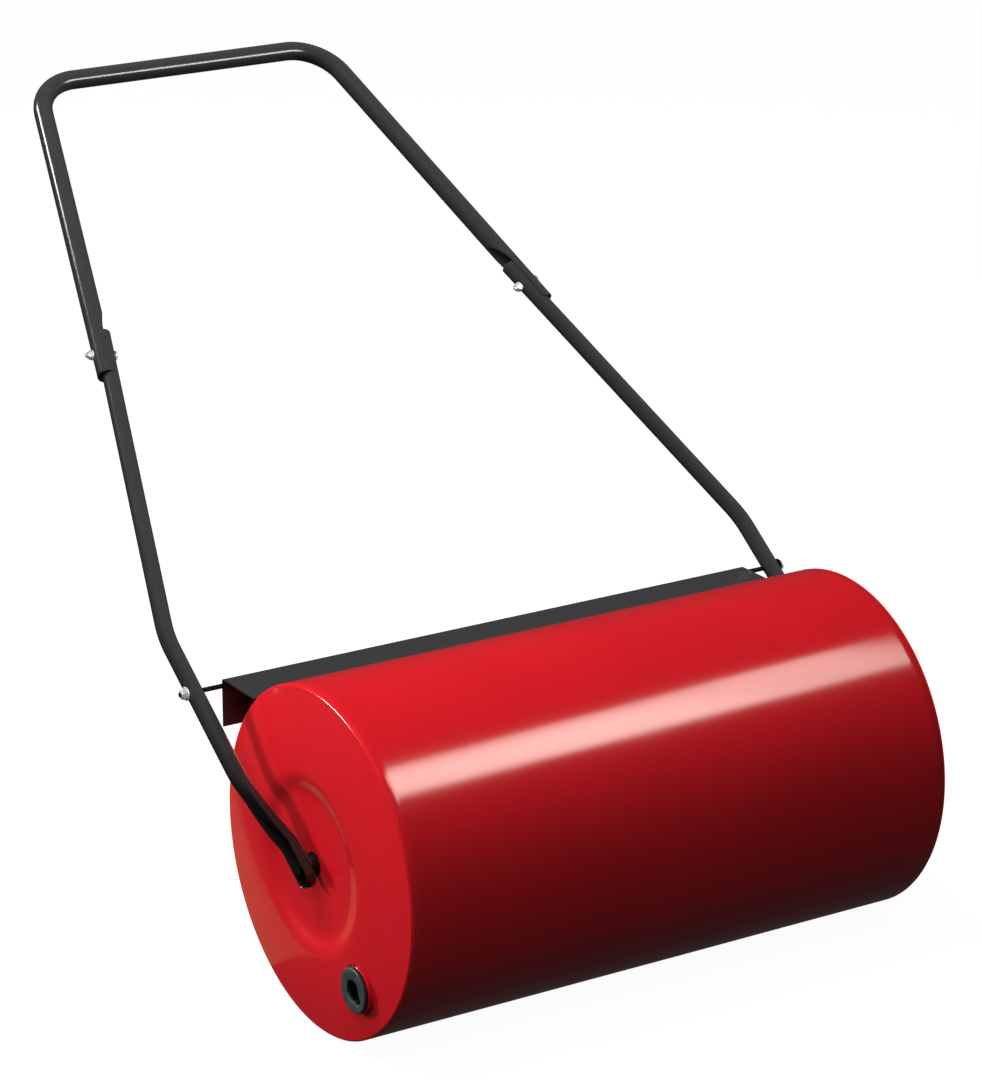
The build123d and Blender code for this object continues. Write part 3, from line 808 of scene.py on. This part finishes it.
def hex_head(flats, height):
    """The rings of a hexagon head that stands on height 0."""
    levels = [(0, 0.15), (0.12, 0.5), (0.5, 9), (height - HEAD_SLOPE, 9)]
    for i in range(1, 7):
        slope = HEAD_SLOPE * i / 6
        levels.append((height - HEAD_SLOPE + slope, HEAD_SLOPE - slope))
    return [(level, hexagon(flats, to_edge)) for level, to_edge in levels]


def thread(start, end, radius, pitch):
    """The rings of a screw thread between two heights."""
    profile = []
    steps = max(2, round((end - start) / pitch * 8))
    for i in range(steps + 1):
        height = start + (end - start) * i / steps

        def ridge(angle, height=height):
            turn = (height / pitch - angle / (2 * pi)) % 1
            return radius - 0.55 * pitch * abs(2 * turn - 1)
        profile.append((height, ridge))
    return profile


head_face = AXLE_TOP - AXLE_HEAD_HEIGHT
shank_end = HUB_FACE - head_face - AXLE_REACH
axle_profile = [(shank_end, 0.5), (shank_end, BOLT_RADIUS - 0.6), (shank_end + 1, BOLT_RADIUS)]
axle_profile += [(-0.4, BOLT_RADIUS), (0, BOLT_RADIUS + 0.3)]
axle_profile += hex_head(AXLE_HEAD, AXLE_HEAD_HEIGHT)
axle_profile += [(AXLE_HEAD_HEIGHT, AXLE_HEAD / 2 * 0.9)]
axle_profile += [(AXLE_HEAD_HEIGHT - AXLE_DISH, AXLE_HEAD / 2 * 0.8)]
axle_profile += [(AXLE_HEAD_HEIGHT - AXLE_DISH, 1.0)]
washer_profile = collar(
    BOLT_RADIUS, AXLE_WASHER_RADIUS, head_face - AXLE_WASHER, head_face, 0.3
)
for facing, name in ((-1, "plug_side"), (1, "far_side")):
    place = seat(at_axle(0, 0, 0), (facing, 0, 0), (0, cos(AXLE_TURN), sin(AXLE_TURN)))
    rise = Matrix.Translation((0, 0, head_face))
    bolt = turned(name + "_axle_bolt", place @ rise, axle_profile, blackened, 72)
    fit(bolt, "drum", "blackened_steel", *(["axle_bolts"] if facing < 0 else []))
    washer = turned(name + "_axle_washer", place, washer_profile, blackened, 64, True)
    fit(washer, "drum", "blackened_steel", *(["axle_washers"] if facing < 0 else []))

# ---------------------------------------------------------------- arm bushes
# Moulded nylon top-hat bushes between each arm's tip and its bolt, so that steel never
# rubs on steel. They are the CAD's own shape in a waxy black nylon.
NYLON = (0.02, 0.02, 0.021, 1)
NYLON_PALE = (0.035, 0.035, 0.037, 1)

nylon = Finish("black nylon")
waxy = nylon.spots(0.002, 3)
nylon.surface({
    "Base Color": nylon.mix(waxy, NYLON, NYLON_PALE),
    "Roughness": 0.42 + 0.1 * waxy,
    "Normal": nylon.bump(waxy, 0.00002),
})
for node in ("left_arm_bush", "right_arm_bush"):
    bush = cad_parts[node]
    bush.data.materials.clear()
    bush.data.materials.append(nylon.material)

# ---------------------------------------------------------------- upper handle
# One length of wider steel tube, bent into the grip and powder coated. Each foot is pressed
# in from the inside by a punch, so that the lower arm's tube lies in the scoop.
UPPER_RADIUS = 9.5
GRIP_DISTANCE = 925
GRIP_BEND = 50
UPPER_SPREAD = 0.2268
FOOT = 558
GRIP_PITCH = 2.0
SCOOP_RADIUS = 8.05
SCOOP_LENGTH = 54
SCOOP_TOP = FOOT + SCOOP_LENGTH * cos(UPPER_SPREAD)
SCOOP_RUNOUT = 30
SCOOP_FLARE = 1.1
SLOT_DEPTH = 19


def upper_half(distance):
    """Half of the distance between the upper legs."""
    return JOINT_HALF - UPPER_SPREAD * (distance - JOINT_DISTANCE)


def crescent(gap, inset=0):
    """The tube's section where a punch stands that far inside it, (outward, sideways)."""
    points = []
    for spot in circle:
        x = spot.x * (UPPER_RADIUS - inset)
        y = spot.y * (UPPER_RADIUS - inset)
        punch = SCOOP_RADIUS + inset + SCOOP_FLARE * abs(spot.y) ** 6
        if (x + gap) ** 2 + y * y < punch * punch:
            x = sqrt(max(punch * punch - y * y, 0)) - gap
        points.append((x, y))
    return points


def scoop_gap(distance):
    """How far inside the leg's axis the punch's axis lies, at a distance from the axle."""
    share = min(max((distance - SCOOP_TOP) / SCOOP_RUNOUT, 0), 1)
    share = 0.6 * share + 0.4 * share * share * (3 - 2 * share)
    lean = (ARM_SPREAD - UPPER_SPREAD) * (distance - JOINT_DISTANCE)
    return JOINT_NEST + lean + share * (SCOOP_RADIUS - JOINT_NEST + UPPER_RADIUS)


grip_line = bent_line(
    [
        (-upper_half(FOOT), FOOT),
        (-upper_half(GRIP_DISTANCE), GRIP_DISTANCE),
        (upper_half(GRIP_DISTANCE), GRIP_DISTANCE),
        (upper_half(FOOT), FOOT),
    ],
    GRIP_BEND, GRIP_PITCH,
)


def handle_ring(point, direction, section):
    """A ring across the handle's tube."""
    out = Vector((-direction.y, direction.x))
    ring = []
    for x, y in section:
        flat = point + out * x
        ring.append(in_handle(flat.x, flat.y, y))
    return ring


def foot_rings(point, direction, inward):
    """The open foot of a leg: up the slot between its two walls, and out over its edge."""
    levels = [
        (SLOT_DEPTH, TUBE_WALL), (0.3, TUBE_WALL), (0, TUBE_WALL - 0.35), (0, 0.4), (0.15, 0.1)
    ]
    return [
        handle_ring(
            point + direction * inward * depth, direction,
            crescent(scoop_gap(FOOT + depth), inset),
        )
        for depth, inset in levels
    ]


rings = foot_rings(grip_line[0], ahead_at(grip_line, 0), 1)
last = len(grip_line) - 1
for i, point in enumerate(grip_line):
    direction = ahead_at(grip_line, i)
    nudge = direction * 0.5 if i == 0 else direction * (-0.5 if i == last else 0)
    rings.append(handle_ring(point + nudge, direction, crescent(scoop_gap(point.y))))
rings += foot_rings(grip_line[last], ahead_at(grip_line, last), -1)[::-1]
fit(skin("grip_handle", rings, powder_coat, sharp=38), "handle", "black_paint", "upper_handle")

# ---------------------------------------------------------------- handle joint bolts
# A zinc plated, dome-headed bolt through each joint, with a flat washer and a lock nut. The
# near leg's nut faces out and the far leg's faces in, as they were put together.
JOINT_BOLT = 2.5
JOINT_PITCH = 1.0
DOME_RADIUS = 5
DOME_HEIGHT = 2.6
DOME_LIP = 0.35
DOME_BOLT_STEPS = 9
JOINT_WASHER = 1
JOINT_WASHER_RADIUS = 5
JOINT_NUT = 8
JOINT_NUT_HEIGHT = 4.5
THREAD_END = 2
INNER_SEAT = -(JOINT_NEST + ARM_RADIUS + 0.1)
ZINC = (0.66, 0.67, 0.68, 1)
ZINC_DULL = (0.42, 0.42, 0.41, 1)

zinc = Finish("zinc plate")
mottle = zinc.ramp(zinc.spots(0.0025, 4, 0.7), [(0.4, 0), (0.7, 1)])
zinc.surface({
    "Base Color": zinc.mix(mottle, ZINC, ZINC_DULL),
    "Metallic": 0.65,
    "Roughness": 0.3 + 0.16 * mottle,
    "Normal": zinc.bump(zinc.spots(0.0005, 2), 0.000015),
})


def lock_nut(name, place, flats, height, bore):
    """A nut with a round collar that holds a nylon ring, standing on the place's height 0."""
    body = height * 0.68
    profile = hex_head(flats, body)
    profile += [(body, flats * 0.43), (height - 0.7, flats * 0.42), (height - 0.2, flats * 0.38)]
    profile += [(height, flats * 0.34), (height - 0.2, flats * 0.32), (height - 0.5, bore + 0.3)]
    profile += [(height - 0.9, bore), (0.3, bore), (0, bore + 0.3)]
    return turned(name, place, profile, zinc, 72, True, 28)


bolt_end = -(UPPER_RADIUS - INNER_SEAT + JOINT_WASHER + JOINT_NUT_HEIGHT + THREAD_END)
bolt_profile = [(bolt_end, 0.4), (bolt_end, JOINT_BOLT - 0.8)]
bolt_profile += thread(bolt_end + 0.6, bolt_end + THREAD_END + 1, JOINT_BOLT, JOINT_PITCH)
bolt_profile += [(bolt_end + THREAD_END + 1.5, JOINT_BOLT), (-0.3, JOINT_BOLT)]
bolt_profile += [(0, JOINT_BOLT + 0.2), (0, DOME_RADIUS - 0.15)]
for i in range(DOME_BOLT_STEPS + 1):
    turn = radians(90 * i / DOME_BOLT_STEPS)
    level = DOME_LIP + (DOME_HEIGHT - DOME_LIP) * sin(turn)
    bolt_profile.append((level, max(DOME_RADIUS * cos(turn), 0.25)))
for facing, name in ((-1, "near_leg"), (1, "far_leg")):
    leg_foot = in_handle(facing * JOINT_HALF, JOINT_DISTANCE)
    outward = (Vector((facing, 0, 0)) + ALONG * UPPER_SPREAD).normalized()
    head, nut = (UPPER_RADIUS, INNER_SEAT) if facing > 0 else (INNER_SEAT, UPPER_RADIUS)
    head_way = outward if head > 0 else -outward
    nut_way = -head_way
    head_place = seat(leg_foot + outward * head, head_way, NORMAL)
    nut_place = seat(leg_foot + outward * nut, nut_way, NORMAL)
    bolt = turned(name + "_bolt", head_place, bolt_profile, zinc, 48)
    fit(bolt, "handle", "zinc_plate", *(["joint_bolts"] if facing < 0 else []))
    washer = turned(
        name + "_washer", nut_place,
        collar(JOINT_BOLT, JOINT_WASHER_RADIUS, 0, JOINT_WASHER, 0.25), zinc, 48, True,
    )
    fit(washer, "handle", "zinc_plate", *(["joint_washers"] if facing < 0 else []))
    nut_piece = lock_nut(
        name + "_nut", nut_place @ Matrix.Translation((0, 0, JOINT_WASHER)),
        JOINT_NUT, JOINT_NUT_HEIGHT, JOINT_BOLT,
    )
    fit(nut_piece, "handle", "zinc_plate", *(["joint_nuts"] if facing < 0 else []))

# ---------------------------------------------------------------- scraper rod
# A thin steel rod across the handle, blackened and threaded at both ends, with a washer and
# a lock nut outside each arm. The scraper hangs on it.
rod_low, rod_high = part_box("scraper_rod")
ROD = (rod_low + rod_high) / 2 / MM
ROD_HALF = (rod_high.x - rod_low.x) / 2 / MM
ROD_RADIUS = (rod_high.z - rod_low.z) / 2 / MM
ROD_THREAD = 14
ROD_PITCH = 0.8
ROD_WASHER = 1.2
ROD_WASHER_RADIUS = 6.5
ROD_NUT = 9
ROD_NUT_HEIGHT = 5
WASHER_SEAT = ARM_HALF + ARM_RADIUS

rod_place = seat(ROD, (1, 0, 0))
profile = [(-ROD_HALF, 0.4), (-ROD_HALF, ROD_RADIUS - 0.6)]
profile += thread(-ROD_HALF + 0.5, -ROD_HALF + ROD_THREAD, ROD_RADIUS, ROD_PITCH)
profile += [(x, ROD_RADIUS) for x in (-ROD_HALF + ROD_THREAD + 0.5, ROD_HALF - ROD_THREAD - 0.5)]
profile += thread(ROD_HALF - ROD_THREAD, ROD_HALF - 0.5, ROD_RADIUS, ROD_PITCH)
profile += [(ROD_HALF, ROD_RADIUS - 0.6), (ROD_HALF, 0.4)]
rod = turned("scraper_pivot_rod", rod_place, profile, blackened, 32)
fit(rod, "handle", "blackened_steel", "scraper_rod")
for facing, name, metal, slot in (
    (-1, "near", zinc, "zinc_plate"), (1, "far", blackened, "blackened_steel"),
):
    place = seat(ROD, (facing, 0, 0))
    washer = turned(
        name + "_rod_washer", place,
        collar(ROD_RADIUS, ROD_WASHER_RADIUS, WASHER_SEAT, WASHER_SEAT + ROD_WASHER, 0.25),
        metal, 48, True,
    )
    fit(washer, "handle", slot, *(["rod_washers"] if facing < 0 else []))
    nut_piece = lock_nut(
        name + "_rod_nut", place @ Matrix.Translation((0, 0, WASHER_SEAT + ROD_WASHER)),
        ROD_NUT, ROD_NUT_HEIGHT, ROD_RADIUS,
    )
    fit(nut_piece, "handle", "zinc_plate", *(["rod_nuts"] if facing < 0 else []))

# ---------------------------------------------------------------- scraper
# A steel strip folded into an angle and powder coated. It hangs on the rod by three short
# sleeves that are tacked under its fold, and its front edge rides just clear of the drum.
blade_low, blade_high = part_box("scraper_blade")
BLADE_HALF = blade_high.x / MM
FOLD = 2.5
CUT_EDGE = 0.35
BLADE_STATIONS = 58
TRUE_END = 40  # the plate is held true over this length at each end
TRUE_TOP = 10  # and this far down from its fold


def sag(x):
    """How far the long plate is out of true, in millimetres."""
    return 0.22 * sin(x / 88 + 0.6) + 0.1 * sin(x / 33)


top = blade_high.z / MM
back = blade_high.y / MM
foot = blade_low.z / MM
lip = blade_low.y / MM
outline = soft_corners(
    [
        (lip, top), (back, top), (back, foot),
        (back - SHEET, foot), (back - SHEET, top - SHEET), (lip, top - SHEET),
    ],
    [CUT_EDGE, FOLD, CUT_EDGE, CUT_EDGE, FOLD - SHEET, CUT_EDGE],
    5, True,
)
rings = []
for i in range(BLADE_STATIONS + 1):
    x = (2 * i / BLADE_STATIONS - 1) * BLADE_HALF
    fade = min(1, (BLADE_HALF - abs(x)) / TRUE_END)
    ring = []
    for point in outline:
        lean = fade * sag(x) * (1 if point.y < top - TRUE_TOP else 0)
        ring.append((x, point.x - abs(lean), point.y))
    rings.append(ring)
blade = skin("scraper_plate", rings, powder_coat)
fit(blade, "scraper", "black_paint", "scraper_blade")

SLEEVE_RADIUS = 3.5
SLEEVE_LENGTH = 30
for number, middle in enumerate((SLEEVE_LENGTH - BLADE_HALF, 0, BLADE_HALF - SLEEVE_LENGTH)):
    place = seat(ROD + Vector((middle, 0, 0)), (1, 0, 0))
    profile = collar(ROD_RADIUS + 0.1, SLEEVE_RADIUS, -SLEEVE_LENGTH / 2, SLEEVE_LENGTH / 2, 0.3)
    sleeve = turned(f"scraper_sleeve_{number + 1}", place, profile, powder_coat, 48, True)
    fit(sleeve, "scraper", "black_paint", *(["scraper_sleeves"] if number == 0 else []))

# ---------------------------------------------------------------- filler plug
# A moulded rubber bung with a broad flange. A key-shaped socket in its face takes the tool
# or coin that levers it out.
PLUG_FLANGE = 21
PLUG_FLANGE_HEIGHT = 3.8
PLUG_STEM = NECK_BORE - 0.3
PLUG_STEM_LENGTH = 15
PLUG_SOCKET = 9.8
PLUG_SOCKET_DEPTH = 10
PLUG_FACE = -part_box("filler_plug")[0].x / MM
FLANGE_SEAT = PLUG_FACE - PLUG_FLANGE_HEIGHT
LOBE = 5.2
LOBE_OUT = 9.3
LOBE_TURN = radians(142)
RUBBER = (0.022, 0.034, 0.034, 1)
RUBBER_BLOOM = (0.036, 0.050, 0.050, 1)
# Painted shade: the rubber turns near black from 0.4 mm to 3 mm in from the plug's face, inside
# the socket and down the flange's edge.
PAINTED_SOCKET_SHADE = (0.003, 0.004, 0.004, 1)

rubber = Finish("grey rubber")
bloom = rubber.ramp(rubber.spots(0.006, 4, 0.65), [(0.4, 0), (0.7, 1)])
# Painted shade, by depth in from the plug's face.
spot = rubber.add("SeparateXYZ", None, {0: rubber.add("TexCoord").outputs["Object"]})
centimetres_in = (Value(rubber, spot.outputs[0]) + PLUG_FACE * MM) * 100
painted_socket_shade = rubber.ramp(centimetres_in, [(0.04, 0), (0.3, 1)])
bloomed = rubber.mix(bloom, RUBBER, RUBBER_BLOOM)
rubber.surface({
    "Base Color": rubber.mix(painted_socket_shade, bloomed, PAINTED_SOCKET_SHADE),
    "Roughness": 0.42 + 0.14 * bloom,
    "Specular IOR Level": 0.5,
    "Normal": rubber.bump(rubber.spots(0.0007, 3), 0.00005),
})


def key_shape(wider):
    """The socket's radius at an angle: a circle with a smaller one beside it as its keyway."""
    def radius(angle):
        reach = PLUG_SOCKET
        across = LOBE_OUT * sin(angle - LOBE_TURN)
        if abs(across) < LOBE and cos(angle - LOBE_TURN) > 0:
            far = LOBE_OUT * cos(angle - LOBE_TURN) + sqrt(LOBE * LOBE - across * across)
            reach = max(reach, far)
        return reach + wider
    return radius


plug_place = seat(at_axle(0, FILLER_Y, FILLER_Z), (-1, 0, 0), (0, 1, 0))
stem = soft_corners(
    [
        (FLANGE_SEAT - PLUG_STEM_LENGTH, 1), (FLANGE_SEAT - PLUG_STEM_LENGTH, PLUG_STEM),
        (FLANGE_SEAT, PLUG_STEM), (FLANGE_SEAT, PLUG_FLANGE),
        (PLUG_FACE, PLUG_FLANGE), (PLUG_FACE, PLUG_SOCKET + 7),
    ],
    [0, 2.2, 0.3, 0.9, 1.6, 0], 6,
)
socket_floor = PLUG_FACE - PLUG_SOCKET_DEPTH
profile = [tuple(point) for point in stem]
profile += [(PLUG_FACE - 0.02, key_shape(1.0)), (PLUG_FACE - 0.2, key_shape(0.35))]
profile += [(PLUG_FACE - 0.7, key_shape(0)), (socket_floor + 0.8, key_shape(-0.1))]
profile += [(socket_floor, key_shape(-1)), (socket_floor, 1.0)]
plug = turned("rubber_plug", plug_place, profile, rubber, 144)
fit(plug, "plug", "rubber", "filler_plug")

bpy.context.view_layer.update()
